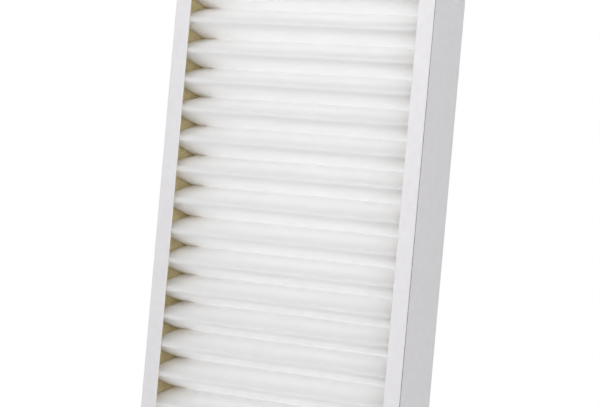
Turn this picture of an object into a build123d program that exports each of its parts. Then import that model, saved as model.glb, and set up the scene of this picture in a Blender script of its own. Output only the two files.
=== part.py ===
"""Pleated panel air filter: a folded media pack glued into a frame of four folded card channels.

Millimetres. X is the width, Y the way the air goes (the front is at -Y) and Z the height.
The origin is at the middle of the bottom face, on which the filter stands.
"""
from build123d import *
from math import asin, degrees, pi, sin
import os

os.makedirs("parts", exist_ok=True)

# ---- Card frame ----
panel_width = 287.0
panel_height = 592.0
panel_depth = 48.0
board = 0.8  # thickness of the card
flange_width = 17.4  # how far the front and rear faces reach in over the media
score = 0.5  # width and depth of the groove along each outer fold
mitre_setback = 0.15  # from a flange's mitred end to the corner's diagonal
tab_length = 24.0  # glue tab folded up from each end of a short channel
tab_clearance = 0.5  # between a tab's long edges and the flanges

# ---- Adhesive ----
glue_over_tab = 0.4  # depth that the side beds have left where they cover a tab
end_glue = 1.0  # bed under the first and last leg

# ---- Media ----
pleat_count = 21
media_thickness = 2.0
fold_inside_radius = 0.3
crest_clearance = 0.6  # between the crests and the flanges
slow_wander = 1.46  # how far the pleats stray from even spacing, in slow_half_waves
quick_wander = -1.46  # the same, in quick_half_waves
slow_half_waves = 3
quick_half_waves = 6

# ---- Derived ----
half_width = panel_width / 2
half_height = panel_height / 2
half_depth = panel_depth / 2
inner_half_depth = half_depth - board
side_glue = board + glue_over_tab  # bed that the pleat ends stand on
media_half_width = half_width - board - side_glue
crest_radius = fold_inside_radius + media_thickness
fold_radius = fold_inside_radius + media_thickness / 2
crest_depth = inner_half_depth - crest_clearance
fold_centre_depth = crest_depth - crest_radius
first_fold = board + end_glue + crest_radius
pleat_pitch = (panel_height - 2 * first_fold) / pleat_count

# Each channel's own frame: x into the panel from its back, z along its length.
left_edge = Plane(origin=(-half_width, 0, half_height), x_dir=(1, 0, 0), z_dir=(0, 0, 1))
right_edge = Plane(origin=(half_width, 0, half_height), x_dir=(-1, 0, 0), z_dir=(0, 0, 1))
bottom_edge = Plane(origin=(0, 0, 0), x_dir=(0, 0, 1), z_dir=(1, 0, 0))
top_edge = Plane(origin=(0, 0, panel_height), x_dir=(0, 0, -1), z_dir=(1, 0, 0))


def folded_channel(edge, half_length):
    """U of card with a grooved outer fold along each flange, and flanges mitred at both ends."""
    with BuildSketch(edge) as section:
        Rectangle(flange_width, panel_depth, align=(Align.MIN, Align.CENTER))
        with Locations((board, 0)):
            Rectangle(flange_width, 2 * inner_half_depth, align=(Align.MIN, Align.CENTER), mode=Mode.SUBTRACT)
        with Locations((0, half_depth), (0, -half_depth)):
            Rectangle(2 * score, 2 * score, mode=Mode.SUBTRACT)
    extrude(section.sketch, amount=half_length, both=True)
    for side in (1, -1):
        face_centre = edge.origin + edge.y_dir * side * half_depth
        with BuildSketch(Plane(origin=face_centre, x_dir=edge.x_dir, z_dir=edge.y_dir * -side)) as mitres:
            mitre = half_length - mitre_setback
            Polygon(
                (0, mitre),
                (flange_width, mitre - flange_width),
                (flange_width, half_length),
                (0, half_length),
                align=None,
            )
            mirror(about=Plane.XZ)
        extrude(mitres.sketch, amount=board, mode=Mode.SUBTRACT)


def glue_tabs(edge, half_length):
    """Shorten a channel's back to fit between its neighbours, and fold a tab up from each end."""
    for end in (1, -1):
        outside = edge.offset(end * half_length)
        with BuildSketch(outside) as neighbour:
            Rectangle(board, 2 * inner_half_depth, align=(Align.MIN, Align.CENTER))
        extrude(neighbour.sketch, amount=-end * board, mode=Mode.SUBTRACT)
        with BuildSketch(outside.offset(-end * board)) as tab:
            Rectangle(tab_length, 2 * (inner_half_depth - tab_clearance), align=(Align.MIN, Align.CENTER))
        extrude(tab.sketch, amount=-end * board)


def side_glue_bed(edge):
    """Adhesive over the whole inside of a long channel's back, and over the tabs that lie on it."""
    bed_half_length = half_height - board
    with BuildSketch(edge) as bed:
        with Locations((board, 0)):
            Rectangle(side_glue, 2 * inner_half_depth, align=(Align.MIN, Align.CENTER))
    extrude(bed.sketch, amount=bed_half_length, both=True)
    for end in (1, -1):
        with BuildSketch(edge.offset(end * bed_half_length)) as tab:
            with Locations((board, 0)):
                Rectangle(board, 2 * (inner_half_depth - tab_clearance), align=(Align.MIN, Align.CENTER))
        extrude(tab.sketch, amount=end * (board - tab_length), mode=Mode.SUBTRACT)


def end_glue_bed(edge):
    """Adhesive over the inside of a short channel's back, between the two side beds."""
    with BuildSketch(edge) as bed:
        with Locations((board, 0)):
            Rectangle(end_glue, 2 * inner_half_depth, align=(Align.MIN, Align.CENTER))
    extrude(bed.sketch, amount=media_half_width, both=True)


def fold_height(folds):
    """Height of a fold's centre, counted in pleats from the first rear fold."""
    half_wave = pi * folds / pleat_count
    slow = slow_wander * sin(slow_half_waves * half_wave)
    quick = quick_wander * sin(quick_half_waves * half_wave)
    return first_fold + folds * pleat_pitch + slow + quick


def leg(start_centre, end_centre, turn):
    """Ends of the straight leg that leaves one fold turning left (1) or right (-1) and joins the next."""
    span = end_centre - start_centre
    heading = span.normalized().rotate(Axis.Z, turn * degrees(asin(2 * fold_radius / span.length)))
    outward = heading.rotate(Axis.Z, -90 * turn) * fold_radius
    return start_centre + outward, end_centre - outward, heading


with BuildPart() as left_side_channel:
    folded_channel(left_edge, half_height)

with BuildPart() as right_side_channel:
    folded_channel(right_edge, half_height)

with BuildPart() as bottom_channel:
    folded_channel(bottom_edge, half_width)
    glue_tabs(bottom_edge, half_width)

with BuildPart() as top_channel:
    folded_channel(top_edge, half_width)
    glue_tabs(top_edge, half_width)

with BuildPart() as left_glue_bed:
    side_glue_bed(left_edge)

with BuildPart() as right_glue_bed:
    side_glue_bed(right_edge)

with BuildPart() as bottom_glue_bed:
    end_glue_bed(bottom_edge)

with BuildPart() as top_glue_bed:
    end_glue_bed(top_edge)

# The sheet starts flat on the bottom bed, zigzags up between rear and front folds, and ends
# flat under the top bed. Its section is drawn in the YZ plane and runs the width of the pack.
fold_centres = []
for half_pleat in range(2 * pleat_count + 1):
    depth = fold_centre_depth if half_pleat % 2 == 0 else -fold_centre_depth
    fold_centres.append(Vector(depth, fold_height(half_pleat / 2)))

with BuildPart() as pleated_media:
    with BuildSketch(Plane.YZ):
        with BuildLine() as middle:
            heading = Vector(1, 0)
            pen = fold_centres[0] - Vector(0, fold_radius)
            Line((-crest_depth, pen.Y), pen)
            turn = 1
            for start_centre, end_centre in zip(fold_centres, fold_centres[1:]):
                leg_start, leg_end, leg_heading = leg(start_centre, end_centre, turn)
                TangentArc(pen, leg_start, tangent=heading)
                Line(leg_start, leg_end)
                pen = leg_end
                heading = leg_heading
                turn = -turn
            flap_start = fold_centres[-1] + Vector(0, fold_radius)
            TangentArc(pen, flap_start, tangent=heading)
            Line(flap_start, (-crest_depth, flap_start.Y))
        trace(line_width=media_thickness)
    extrude(amount=media_half_width, both=True)

left_side_channel.part.label = "left_side_channel"
right_side_channel.part.label = "right_side_channel"
bottom_channel.part.label = "bottom_channel"
top_channel.part.label = "top_channel"
left_glue_bed.part.label = "left_glue_bed"
right_glue_bed.part.label = "right_glue_bed"
bottom_glue_bed.part.label = "bottom_glue_bed"
top_glue_bed.part.label = "top_glue_bed"
pleated_media.part.label = "pleated_media"

export_step(left_side_channel.part, "parts/left_side_channel.step")
export_step(right_side_channel.part, "parts/right_side_channel.step")
export_step(bottom_channel.part, "parts/bottom_channel.step")
export_step(top_channel.part, "parts/top_channel.step")
export_step(left_glue_bed.part, "parts/left_glue_bed.step")
export_step(right_glue_bed.part, "parts/right_glue_bed.step")
export_step(bottom_glue_bed.part, "parts/bottom_glue_bed.step")
export_step(top_glue_bed.part, "parts/top_glue_bed.step")
export_step(pleated_media.part, "parts/pleated_media.step")
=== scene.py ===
"""Looks of the pleated panel air filter: coated card frame, folded fibre media, adhesive, white studio."""
import bpy
from math import asin, atan2, cos, pi, radians, sin
from mathutils import Matrix, Vector, noise


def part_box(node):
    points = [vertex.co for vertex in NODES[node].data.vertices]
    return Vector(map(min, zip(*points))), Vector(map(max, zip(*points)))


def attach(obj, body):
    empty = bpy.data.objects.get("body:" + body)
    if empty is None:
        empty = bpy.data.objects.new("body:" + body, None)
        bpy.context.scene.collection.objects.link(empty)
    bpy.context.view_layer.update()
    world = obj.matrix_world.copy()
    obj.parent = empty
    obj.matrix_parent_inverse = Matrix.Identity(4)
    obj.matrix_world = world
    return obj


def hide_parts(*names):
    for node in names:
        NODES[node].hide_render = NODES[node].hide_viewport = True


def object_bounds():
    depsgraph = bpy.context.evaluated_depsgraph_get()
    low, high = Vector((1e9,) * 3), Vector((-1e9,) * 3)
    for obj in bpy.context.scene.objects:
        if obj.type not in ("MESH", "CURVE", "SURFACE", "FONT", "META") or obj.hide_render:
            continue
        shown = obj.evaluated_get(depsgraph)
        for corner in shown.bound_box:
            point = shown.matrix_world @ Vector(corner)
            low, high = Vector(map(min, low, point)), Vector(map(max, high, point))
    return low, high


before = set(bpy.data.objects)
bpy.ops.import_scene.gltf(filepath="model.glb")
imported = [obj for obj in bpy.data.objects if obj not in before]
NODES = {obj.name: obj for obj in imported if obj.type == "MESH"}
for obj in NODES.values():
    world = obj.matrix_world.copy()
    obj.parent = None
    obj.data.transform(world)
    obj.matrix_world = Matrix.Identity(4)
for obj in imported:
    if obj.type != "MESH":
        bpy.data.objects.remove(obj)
CAD_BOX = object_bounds()

MM = 0.001
IMAGE_WIDTH = 600
SENSOR_MM = 36.0

# ---- Camera, fitted to the photograph's edges, crests and valley ends (pixels, degrees, metres) ----
FOCAL_PIXELS = 2448.7
VIEW_AZIMUTH = 35.65
VIEW_ELEVATION = 0.51
VIEW_ROLL = 5.06
VIEW_DISTANCE = 2.1935
AIM_RIGHT_OF_MIDDLE = 18.45 * MM
AIM_HEIGHT = 301.85 * MM
CLIP_END = 100.0

# ---- The panel, from the frame ----
HALF_WIDTH = CAD_BOX[1][0]
HALF_DEPTH = CAD_BOX[1][1]
HEIGHT = CAD_BOX[1][2]
FLANGE_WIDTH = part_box("left_side_channel")[1][0] - CAD_BOX[0][0]

# ---- Card ----
COATING_DEPTH = 0.12 * MM  # how far in from an outer face the white coating is taken to reach
SCORE = 0.5 * MM  # width and depth of the groove along each outer fold
RUBBED_FROM = 0.4 * MM  # how far from a fold the coating is most worn
RUBBED_TO = 1.6 * MM  # and how far from it the wear ends
RUBBED_SHARE = 0.5
GRAIN_SHARE = 0.35
COATING_DULL = (0.868, 0.852, 0.874, 1)
COATING_WHITE = (0.896, 0.881, 0.90, 1)
COATING_GRAIN = (0.83, 0.82, 0.845, 1)
COATING_RUBBED = (0.62, 0.58, 0.52, 1)
KRAFT_DARK = (0.60, 0.49, 0.32, 1)
KRAFT_PALE = (0.72, 0.61, 0.44, 1)
CUT_EDGE = (0.80, 0.70, 0.54, 1)
# Painted shadow: the grooves' exposed kraft is darkened toward black to stand in for the shade inside them.
SCORE_PAINTED_SHADOW = (0.17, 0.155, 0.15, 1)
ALONG_Z = (1, 1, 0.06)  # a noise's stretch on each axis: it is drawn out where this is small
ALONG_X = (0.06, 1, 1)
CARD_WARP = 28  # a noise's scale, here and below, is in blobs to the metre
CARD_MOTTLE = 140
CARD_GRAIN = 900
CARD_FIBRE = 2600
CARD_WARP_DEPTH = 0.5 * MM
CARD_FIBRE_DEPTH = 0.05 * MM

# ---- Adhesive ----
GLUE_THICK = (0.46, 0.38, 0.19, 1)
GLUE_THIN = (0.56, 0.48, 0.28, 1)
GLUE_FIBROUS = (0.47, 0.46, 0.25, 1)
GLUE_POOLS = 160
GLUE_FIBRE = 1300
GLUE_POOL_DEPTH = 1.2 * MM
GLUE_FIBRE_DEPTH = 0.15 * MM

# ---- Media ----
MEDIA_THICKNESS = 2.0 * MM
FOLD_RADIUS = 1.3 * MM  # to the middle of the sheet
LEG_PINCH = 1.2 * MM  # a valley's legs are drawn in by up to 0.58 of this
FOLD_SEGMENTS = 8
LEG_SEGMENTS = 8
SEGMENTS_ACROSS = 56
HEIGHT_WAVER = 0.3 * MM
DEPTH_WAVER = 0.2 * MM
WAVER_LENGTH = 90 * MM
WAVER_PER_FOLD = 0.7
DEPTH_SEED = 3.0
HEIGHT_SEED = 11.0
FOLD_TIP = 0.35 * MM  # how near to its limit a point of the CAD media belongs to a fold's tip
GLUE_REACH = 3.0 * MM  # how far the adhesive has wicked into the web
SOAKED_FALL = 1.6  # more than 1 makes the stain fade fast from the pleat's end
SEEN_THROUGH = 0.7  # share of the light on the web that goes through it
CLEAN_WEB = (0.989, 0.989, 0.99, 1)
CLEAN_STREAK = (0.974, 0.974, 0.975, 1)
# Painted shade: the web is greyer at the front crests than in its depths, so the crests read darker and the
# valleys brighter.
PAINTED_SHADE_WEB = (0.918, 0.918, 0.92, 1)  # chosen so that the pleats shade as in the photograph
PAINTED_SHADE_STREAK = (0.895, 0.895, 0.897, 1)
PAINTED_SHADE_TO = 0.0  # depth at which the painted shade on the front crests has faded out
SOAKED_WEB = (0.88, 0.83, 0.66, 1)
ALONG_FOLD = (0.035, 1, 1)
CLOUD_STRETCH = (0.4, 1, 1)
LINT_STRETCH = (0.3, 1, 1)
WEB_STREAKS = 700
WEB_CLOUDS = 90
WEB_LINT = 1500
STREAK_DEPTH = 0.4 * MM
LINT_DEPTH = 0.25 * MM

# ---- Studio: each lamp's watts, place and size ----
LAMPS = {
    "key": (44.0, (1.75, -2.25, 1.17), 1.4),
    "fill": (1.2, (-0.3, -0.9, 1.0), 0.7),
    "top": (1.6, (0.1, -0.5, 1.3), 0.7),
    "back": (3.1, (0.0, 1.2, 0.26), 0.5),
    "high_back": (1.25, (0.0, 0.6, 1.2), 0.7),
}
LAMP_AIM = (0.0, 0.0, 0.3)
WORLD_LEVEL = 0.45
WORLD_SLOPE = (-0.25, 0.22, -0.12)  # added to the level along each axis
WHITE = (1, 1, 1, 1)
LIGHT_BOUNCES = 24
FLOOR_TONE = (0.74, 0.74, 0.74, 1)
FLOOR_REACH = 6.0
FLOOR_LIFT = 0.3  # how far the floor that is seen is on its way to white beside the panel
LIFT_FROM = 0.35  # distance from the panel at which it starts to grow whiter
WHITE_BY = 1.0  # and at which it is white


# ---- Node helpers ----
class Shade:
    """A node tree being wired: each call adds one node and returns the output that is used."""

    def __init__(self, tree):
        self.tree = tree

    def add(self, kind, **settings):
        made = self.tree.nodes.new(kind)
        for name, value in settings.items():
            setattr(made, name, value)
        return made

    def feed(self, socket, value):
        if isinstance(value, bpy.types.NodeSocket):
            self.tree.links.new(value, socket)
        else:
            socket.default_value = value

    def math(self, operation, a, b=0.0):
        made = self.add("ShaderNodeMath", operation=operation)
        self.feed(made.inputs[0], a)
        self.feed(made.inputs[1], b)
        return made.outputs[0]

    def ramp(self, value, low, high, to_low=0.0, to_high=1.0):
        """Eased from to_low, where the value is low, to to_high, where it is high."""
        made = self.add("ShaderNodeMapRange", interpolation_type="SMOOTHSTEP", clamp=True)
        self.feed(made.inputs["Value"], value)
        made.inputs["From Min"].default_value = low
        made.inputs["From Max"].default_value = high
        made.inputs["To Min"].default_value = to_low
        made.inputs["To Max"].default_value = to_high
        return made.outputs["Result"]

    def mix(self, factor, a, b):
        """Colour a to b. The node has a socket of each kind for every data type; the colours' are used."""
        made = self.add("ShaderNodeMix", data_type="RGBA")
        self.feed(made.inputs[0], factor)
        self.feed(made.inputs[6], a)
        self.feed(made.inputs[7], b)
        return made.outputs[2]

    def place(self):
        """Object coordinates, which are the shared frame's in metres, as x, y and z."""
        place = self.add("ShaderNodeTexCoord").outputs["Object"]
        parts = self.add("ShaderNodeSeparateXYZ")
        self.feed(parts.inputs[0], place)
        return place, parts.outputs

    def noise(self, place, scale, detail=3.0, rough=0.5, stretch=(1, 1, 1)):
        """Noise of about scale blobs to the metre, drawn out along an axis whose stretch is under 1."""
        mapping = self.add("ShaderNodeMapping")
        self.feed(mapping.inputs["Vector"], place)
        mapping.inputs["Scale"].default_value = stretch
        made = self.add("ShaderNodeTexNoise")
        self.feed(made.inputs["Vector"], mapping.outputs[0])
        made.inputs["Scale"].default_value = scale
        made.inputs["Detail"].default_value = detail
        made.inputs["Roughness"].default_value = rough
        return made.outputs["Fac"]

    def bump(self, height, depth, strength=1.0, under=None):
        made = self.add("ShaderNodeBump")
        self.feed(made.inputs["Height"], height)
        made.inputs["Distance"].default_value = depth
        made.inputs["Strength"].default_value = strength
        if under is not None:
            self.feed(made.inputs["Normal"], under)
        return made.outputs[0]


def new_material(name):
    material = bpy.data.materials.new(name)
    material.use_nodes = True
    tree = material.node_tree
    return material, Shade(tree), tree.nodes["Principled BSDF"], tree.nodes["Material Output"]


def card_distances(shade, parts, run_axis):
    """How far below its front or rear face, and below its back, a point of a channel along x or z is."""
    depth = shade.math("SUBTRACT", HALF_DEPTH, shade.math("ABSOLUTE", parts[1]))
    if run_axis == "z":
        return depth, shade.math("SUBTRACT", HALF_WIDTH, shade.math("ABSOLUTE", parts[0]))
    from_middle = shade.math("ABSOLUTE", shade.math("SUBTRACT", parts[2], HEIGHT / 2))
    return depth, shade.math("SUBTRACT", HEIGHT / 2, from_middle)


def board_material(name, run_axis):
    """Card with a white clay coating outside and bare kraft inside and on its cut edges; its scores show
    kraft darkened by painted shadow.
    """
    material, shade, surface, _ = new_material(name)
    place, parts = shade.place()
    depth, back = card_distances(shade, parts, run_axis)
    below = shade.math("MINIMUM", depth, back)
    beyond = shade.math("MAXIMUM", depth, back)
    along = ALONG_Z if run_axis == "z" else ALONG_X
    mottle = shade.noise(place, CARD_MOTTLE, 4, 0.6)
    grain = shade.noise(place, CARD_GRAIN, 3, 0.6, along)
    fibre = shade.noise(place, CARD_FIBRE, 2, 0.6)
    coating = shade.mix(shade.ramp(mottle, 0.3, 0.7), COATING_DULL, COATING_WHITE)
    coating = shade.mix(shade.ramp(grain, 0.45, 0.75, 0.0, GRAIN_SHARE), coating, COATING_GRAIN)
    kraft = shade.mix(shade.ramp(grain, 0.3, 0.7), KRAFT_DARK, KRAFT_PALE)
    near_fold = shade.ramp(beyond, RUBBED_FROM, RUBBED_TO, 1.0, 0.0)
    rubbed = shade.math("MULTIPLY", near_fold, shade.ramp(mottle, 0.45, 0.62, 0.0, RUBBED_SHARE))
    coating = shade.mix(rubbed, coating, COATING_RUBBED)
    cut_edge = shade.ramp(back, FLANGE_WIDTH - 2 * COATING_DEPTH, FLANGE_WIDTH - COATING_DEPTH)
    kraft = shade.mix(cut_edge, kraft, CUT_EDGE)
    # Painted shadow in the scores, over their exposed kraft.
    in_score = shade.ramp(beyond, SCORE, SCORE + COATING_DEPTH, 1.0, 0.0)
    kraft = shade.mix(in_score, kraft, SCORE_PAINTED_SHADOW)
    bare = shade.ramp(below, COATING_DEPTH, 2 * COATING_DEPTH)
    shade.feed(surface.inputs["Base Color"], shade.mix(bare, coating, kraft))
    shade.feed(surface.inputs["Roughness"], shade.ramp(bare, 0.0, 1.0, 0.5, 0.85))
    surface.inputs["Specular IOR Level"].default_value = 0.35
    uneven = shade.bump(shade.noise(place, CARD_WARP, 2), CARD_WARP_DEPTH, 0.35)
    shade.feed(surface.inputs["Normal"], shade.bump(fibre, CARD_FIBRE_DEPTH, 0.5, uneven))
    return material


def adhesive_material():
    """Set adhesive over kraft: thick and brown where it pooled, thin and pale where it was drawn out."""
    material, shade, surface, _ = new_material("adhesive")
    place, _ = shade.place()
    pools = shade.noise(place, GLUE_POOLS, 4, 0.6)
    fibre = shade.noise(place, GLUE_FIBRE, 3, 0.6)
    tone = shade.mix(shade.ramp(pools, 0.35, 0.65), GLUE_THICK, GLUE_THIN)
    tone = shade.mix(shade.ramp(fibre, 0.5, 0.8, 0.0, 0.4), tone, GLUE_FIBROUS)
    shade.feed(surface.inputs["Base Color"], tone)
    shade.feed(surface.inputs["Roughness"], shade.ramp(pools, 0.3, 0.7, 0.35, 0.6))
    blobs = shade.bump(pools, GLUE_POOL_DEPTH, 0.5)
    shade.feed(surface.inputs["Normal"], shade.bump(fibre, GLUE_FIBRE_DEPTH, 0.4, blobs))
    return material


def media_material():
    """White fibre web that lets most light through, greyer toward the front with painted shade, and browned
    at its ends.
    """
    material, shade, surface, output = new_material("media")
    place, parts = shade.place()
    streaks = shade.noise(place, WEB_STREAKS, 4, 0.65, ALONG_FOLD)
    cloud = shade.noise(place, WEB_CLOUDS, 3, 0.6, CLOUD_STRETCH)
    lint = shade.noise(place, WEB_LINT, 3, 0.7, LINT_STRETCH)
    clean = shade.mix(shade.ramp(streaks, 0.35, 0.7), CLEAN_WEB, CLEAN_STREAK)
    # Painted shade: the web greys toward the front crests and is plain from mid-depth back.
    painted_crest_shade = shade.mix(shade.ramp(streaks, 0.35, 0.7), PAINTED_SHADE_WEB, PAINTED_SHADE_STREAK)
    web = shade.mix(shade.ramp(parts[1], -HALF_DEPTH, PAINTED_SHADE_TO), painted_crest_shade, clean)
    from_end = shade.math("SUBTRACT", end_of_media(), shade.math("ABSOLUTE", parts[0]))
    ragged = shade.math("MULTIPLY", shade.math("SUBTRACT", cloud, 0.5), GLUE_REACH / 2)
    reach = shade.math("ADD", from_end, ragged)
    soaked = shade.math("POWER", shade.ramp(reach, 0.0, GLUE_REACH, 1.0, 0.0), SOAKED_FALL)
    tone = shade.mix(soaked, web, SOAKED_WEB)
    shade.feed(surface.inputs["Base Color"], tone)
    surface.inputs["Roughness"].default_value = 0.95
    surface.inputs["Specular IOR Level"].default_value = 0.1
    rough = shade.bump(lint, LINT_DEPTH, 0.35, shade.bump(streaks, STREAK_DEPTH, 0.3))
    shade.feed(surface.inputs["Normal"], rough)
    through = shade.add("ShaderNodeBsdfTranslucent")
    shade.feed(through.inputs["Color"], tone)
    shade.feed(through.inputs["Normal"], rough)
    both = shade.add("ShaderNodeMixShader")
    both.inputs[0].default_value = SEEN_THROUGH
    shade.feed(both.inputs[1], surface.outputs[0])
    shade.feed(both.inputs[2], through.outputs[0])
    shade.feed(output.inputs["Surface"], both.outputs[0])
    return material


def floor_material():
    """Pale floor that keeps the panel's shadow and, where it is seen, runs out into the white surround."""
    material, shade, surface, output = new_material("floor")
    place, _ = shade.place()
    surface.inputs["Base Color"].default_value = FLOOR_TONE
    surface.inputs["Roughness"].default_value = 0.9
    distance = shade.add("ShaderNodeVectorMath", operation="LENGTH")
    shade.feed(distance.inputs[0], place)
    away = shade.ramp(distance.outputs["Value"], LIFT_FROM, WHITE_BY, FLOOR_LIFT, 1.0)
    seen = shade.add("ShaderNodeLightPath").outputs["Is Camera Ray"]
    white = shade.add("ShaderNodeEmission")
    both = shade.add("ShaderNodeMixShader")
    shade.feed(both.inputs[0], shade.math("MULTIPLY", away, seen))
    shade.feed(both.inputs[1], surface.outputs[0])
    shade.feed(both.inputs[2], white.outputs[0])
    shade.feed(output.inputs["Surface"], both.outputs[0])
    return material


# ---- Media ----
def end_of_media():
    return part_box("pleated_media")[1][0]


def fold_tips(side, reach):
    """Heights at which the CAD media touches its rear (1) or front (-1) limit, bottom to top."""
    tips = [v.co.z for v in NODES["pleated_media"].data.vertices if v.co.y * side > reach - FOLD_TIP]
    groups = []
    for height in sorted(tips):
        if not groups or height - groups[-1][-1] > FOLD_TIP * 4:
            groups.append([])
        groups[-1].append(height)
    return [(group[0] + group[-1]) / 2 for group in groups]


def fold_centres():
    """Centre of each fold as (y, z), bottom to top. The flaps' front edges are left out."""
    low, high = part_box("pleated_media")
    inset = FOLD_RADIUS + MEDIA_THICKNESS / 2
    rear = fold_tips(1, high[1])
    front = [height for height in fold_tips(-1, -low[1]) if rear[0] < height < rear[-1]]
    centres = [Vector((high[1] - inset, height)) for height in rear]
    centres += [Vector((low[1] + inset, height)) for height in front]
    return sorted(centres, key=lambda centre: centre.y)


def leg_ends(start, end, turn):
    """Where the straight leg leaves one fold and meets the next, turning left (1) or right (-1)."""
    span = end - start
    heading = span.normalized()
    heading.rotate(Matrix.Rotation(turn * asin(2 * FOLD_RADIUS / span.length), 2))
    outward = Vector((heading.y, -heading.x)) * turn * FOLD_RADIUS
    return start + outward, end - outward


def arc(centre, start, end, turn):
    first = atan2(start.y - centre.y, start.x - centre.x)
    swept = (atan2(end.y - centre.y, end.x - centre.x) - first) * turn % (2 * pi) * turn
    angles = [first + swept * step / FOLD_SEGMENTS for step in range(1, FOLD_SEGMENTS)]
    return [centre + Vector((cos(angle), sin(angle))) * FOLD_RADIUS for angle in angles]


def pinched_leg(start, end, turn):
    """Points of a leg. A valley's two legs draw together toward its rear fold and open out at the front."""
    points = []
    for step in range(LEG_SEGMENTS + 1):
        share = step / LEG_SEGMENTS
        from_rear = share if turn > 0 else 1 - share
        drawn_in = LEG_PINCH * sin(pi * from_rear) * (1 - from_rear)
        points.append(start.lerp(end, share) - Vector((0, turn * drawn_in)))
    return points


def media_profile():
    """Middle line of the folded sheet as (place in folds, y, z), from the bottom flap to the top one."""
    centres = fold_centres()
    flap_front = centres[1].x - FOLD_RADIUS - MEDIA_THICKNESS / 2
    pen = centres[0] - Vector((0, FOLD_RADIUS))
    line = [(0, Vector((flap_front, pen.y))), (0, pen)]
    turn = 1
    for fold, (here, there) in enumerate(zip(centres, centres[1:])):
        start, end = leg_ends(here, there, turn)
        line += [(fold, point) for point in arc(here, pen, start, turn)]
        leg = pinched_leg(start, end, turn)
        line += [(fold + step / LEG_SEGMENTS, point) for step, point in enumerate(leg)]
        pen = end
        turn = -turn
    last = len(centres) - 1
    flap = centres[-1] + Vector((0, FOLD_RADIUS))
    line += [(last, point) for point in arc(centres[-1], pen, flap, turn)]
    return line + [(last, flap), (last, Vector((flap_front, flap.y)))]


def waver(x, place, last):
    """How far the folded sheet strays in depth and height, as a sheet folded and glued by hand does."""
    calm = min(1.0, place / 2, (last - place) / 2)
    across = x / WAVER_LENGTH
    up = place * WAVER_PER_FOLD
    depth = noise.noise(Vector((across, up, DEPTH_SEED))) * DEPTH_WAVER
    height = noise.noise(Vector((across, up, HEIGHT_SEED))) * HEIGHT_WAVER
    return Vector((depth, height)) * calm


def add_media():
    profile = media_profile()
    last = profile[-1][0]
    half = end_of_media()
    columns = [half * (2 * step / SEGMENTS_ACROSS - 1) for step in range(SEGMENTS_ACROSS + 1)]
    points = []
    for place, point in profile:
        for x in columns:
            moved = point + waver(x, place, last)
            points.append((x, moved.x, moved.y))
    row = len(columns)
    corners = [r * row + c for r in range(len(profile) - 1) for c in range(row - 1)]
    faces = [(at, at + 1, at + 1 + row, at + row) for at in corners]
    mesh = bpy.data.meshes.new("folded_media")
    mesh.from_pydata(points, [], faces)
    mesh.polygons.foreach_set("use_smooth", [True] * len(faces))
    piece = bpy.data.objects.new("folded_media", mesh)
    bpy.context.scene.collection.objects.link(piece)
    thick = piece.modifiers.new("thickness", "SOLIDIFY")
    thick.thickness = MEDIA_THICKNESS
    thick.offset = 0
    thick.use_even_offset = True
    piece.data.materials.append(media_material())
    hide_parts("pleated_media")
    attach(piece, "root")


# ---- Frame and adhesive ----
def dress_nodes():
    side_board = board_material("side_board", "z")
    end_board = board_material("end_board", "x")
    adhesive = adhesive_material()
    for name, node in NODES.items():
        if name.endswith("side_channel"):
            finish = side_board
        elif name.endswith("channel"):
            finish = end_board
        else:
            finish = adhesive
        node.data.materials.clear()
        node.data.materials.append(finish)


# ---- Studio ----
def add_camera():
    azimuth = radians(VIEW_AZIMUTH)
    elevation = radians(VIEW_ELEVATION)
    back = Vector((sin(azimuth) * cos(elevation), -cos(azimuth) * cos(elevation), sin(elevation)))
    aim = Vector((AIM_RIGHT_OF_MIDDLE, CAD_BOX[0][1], AIM_HEIGHT))
    camera = bpy.data.cameras.new("camera")
    camera.lens = FOCAL_PIXELS * SENSOR_MM / IMAGE_WIDTH
    camera.sensor_width = SENSOR_MM
    camera.clip_end = CLIP_END
    holder = bpy.data.objects.new("camera", camera)
    level = back.to_track_quat("Z", "Y").to_matrix().to_4x4()
    roll = Matrix.Rotation(radians(VIEW_ROLL), 4, "Z")
    holder.matrix_world = Matrix.Translation(aim + back * VIEW_DISTANCE) @ level @ roll
    bpy.context.scene.collection.objects.link(holder)
    bpy.context.scene.camera = holder


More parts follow.
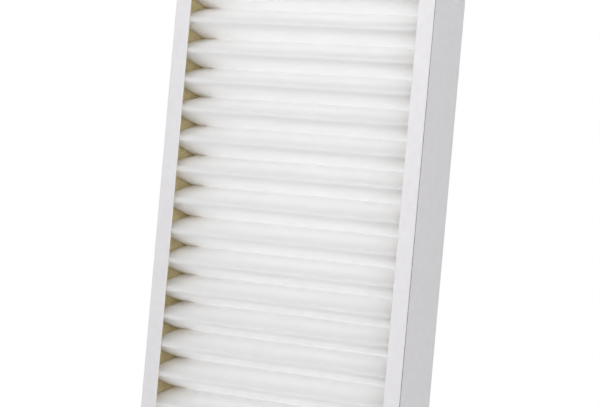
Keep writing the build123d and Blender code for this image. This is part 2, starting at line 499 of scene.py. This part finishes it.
def add_floor():
    mesh = bpy.data.meshes.new("floor")
    corners = [(-1, -1), (1, -1), (1, 1), (-1, 1)]
    mesh.from_pydata([(x * FLOOR_REACH, y * FLOOR_REACH, 0) for x, y in corners], [], [(0, 1, 2, 3)])
    floor = bpy.data.objects.new("floor", mesh)
    bpy.context.scene.collection.objects.link(floor)
    floor.data.materials.append(floor_material())


def add_lamp(name, watts, place, size):
    lamp = bpy.data.lights.new(name, "AREA")
    lamp.shape = "SQUARE"
    lamp.size = size
    lamp.energy = watts
    holder = bpy.data.objects.new(name, lamp)
    place = Vector(place)
    turned = (place - Vector(LAMP_AIM)).to_track_quat("Z", "Y").to_matrix().to_4x4()
    holder.matrix_world = Matrix.Translation(place) @ turned
    bpy.context.scene.collection.objects.link(holder)


def light_world():
    """White to camera, glossy and transmission rays. Its other light is stronger from the left and back."""
    world = bpy.data.worlds.new("studio")
    bpy.context.scene.world = world
    world.use_nodes = True
    shade = Shade(world.node_tree)
    light = world.node_tree.nodes["Background"]
    light.inputs["Color"].default_value = WHITE
    slope = shade.add("ShaderNodeVectorMath", operation="DOT_PRODUCT")
    shade.feed(slope.inputs[0], shade.add("ShaderNodeTexCoord").outputs["Generated"])
    slope.inputs[1].default_value = WORLD_SLOPE
    shade.feed(light.inputs["Strength"], shade.math("ADD", slope.outputs["Value"], WORLD_LEVEL))
    seen = shade.add("ShaderNodeBackground")
    seen.inputs["Color"].default_value = WHITE
    rays = shade.add("ShaderNodeLightPath").outputs
    looked_at = shade.math("MAXIMUM", rays["Is Camera Ray"], rays["Is Glossy Ray"])
    looked_at = shade.math("MAXIMUM", looked_at, rays["Is Transmission Ray"])
    both = shade.add("ShaderNodeMixShader")
    shade.feed(both.inputs[0], looked_at)
    shade.feed(both.inputs[1], light.outputs[0])
    shade.feed(both.inputs[2], seen.outputs[0])
    shade.feed(world.node_tree.nodes["World Output"].inputs["Surface"], both.outputs[0])


def set_render():
    scene = bpy.context.scene
    scene.view_settings.view_transform = "Standard"
    scene.cycles.max_bounces = LIGHT_BOUNCES
    scene.cycles.diffuse_bounces = LIGHT_BOUNCES
    scene.cycles.transmission_bounces = LIGHT_BOUNCES


add_camera()
dress_nodes()
add_media()
add_floor()
for name, (watts, place, size) in LAMPS.items():
    add_lamp(name, watts, place, size)
light_world()
set_render()
